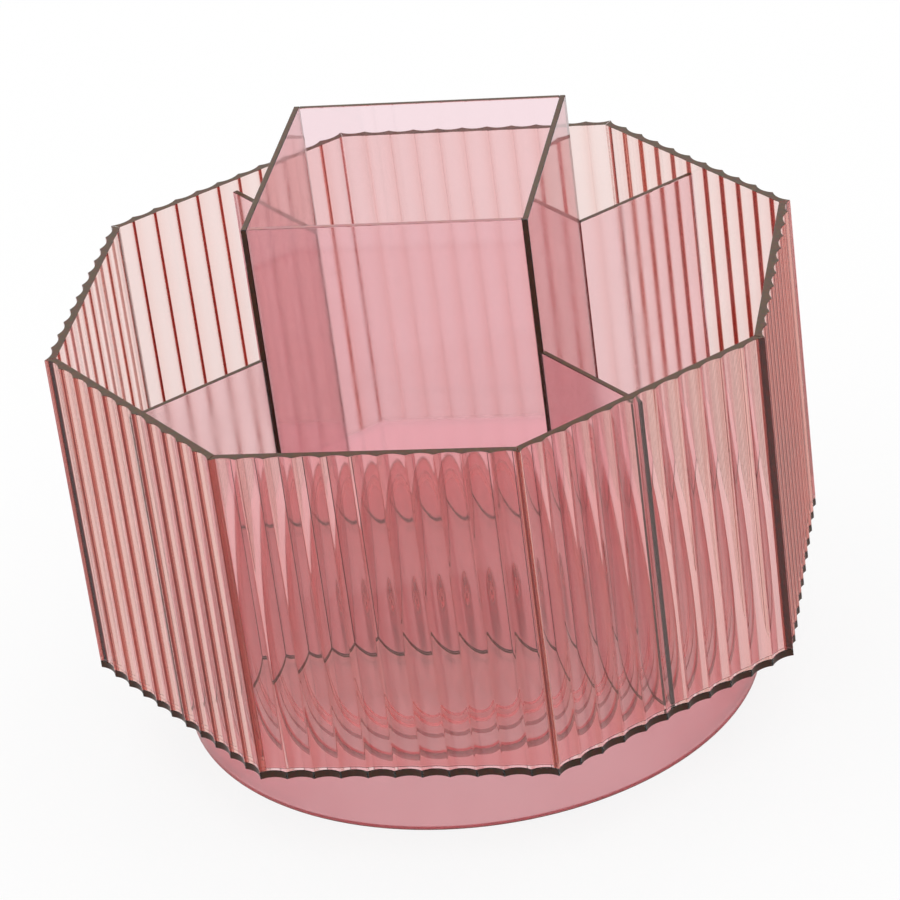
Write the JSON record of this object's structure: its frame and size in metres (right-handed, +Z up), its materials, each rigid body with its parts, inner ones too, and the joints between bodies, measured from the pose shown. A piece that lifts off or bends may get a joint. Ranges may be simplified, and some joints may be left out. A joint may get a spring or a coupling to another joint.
{
  "type": "rotating pen holder",
  "caption": "Octagonal fluted drum of clear pink plastic with a taller square tower in the middle and dividers to its corners, turning on a round base to hold pens.",
  "frame": {"origin": "on the table, on the upright axis that the drum turns about", "axes": "+Z up along the turning axis, -Y to the front wall, +X to the right of it"},
  "size_m": [0.15, 0.15, 0.124],
  "materials": {
    "fluted_plastic": "clear pink, polished, fluted outside",
    "clear_plastic": "clear pink, polished",
    "bush_plastic": "natural white acetal, as turned",
    "screw_steel": "zinc plated"
  },
  "bodies": {
    "base": {"base_shell": "clear_plastic", "spindle_bush": "bush_plastic"},
    "drum": {"wall_front": "fluted_plastic", "wall_front_right": "fluted_plastic", "wall_right": "fluted_plastic", "wall_back_right": "fluted_plastic", "wall_back": "fluted_plastic", "wall_back_left": "fluted_plastic", "wall_left": "fluted_plastic", "wall_front_left": "fluted_plastic", "floor_plate": "clear_plastic", "tower_front": "clear_plastic", "tower_right": "clear_plastic", "tower_back": "clear_plastic", "tower_left": "clear_plastic", "divider_front_right": "clear_plastic", "divider_back_right": "clear_plastic", "divider_back_left": "clear_plastic", "divider_front_left": "clear_plastic", "turntable_disc": "clear_plastic", "retaining_washer": "bush_plastic", "spindle_screw": "screw_steel"}
  },
  "joints": [
    {"name": "drum_spin", "type": "hinge", "parent": "base", "child": "drum", "pos_m": [0, 0, 0.0188], "axis": [0, 0, 1], "continuous": true}
  ]
}
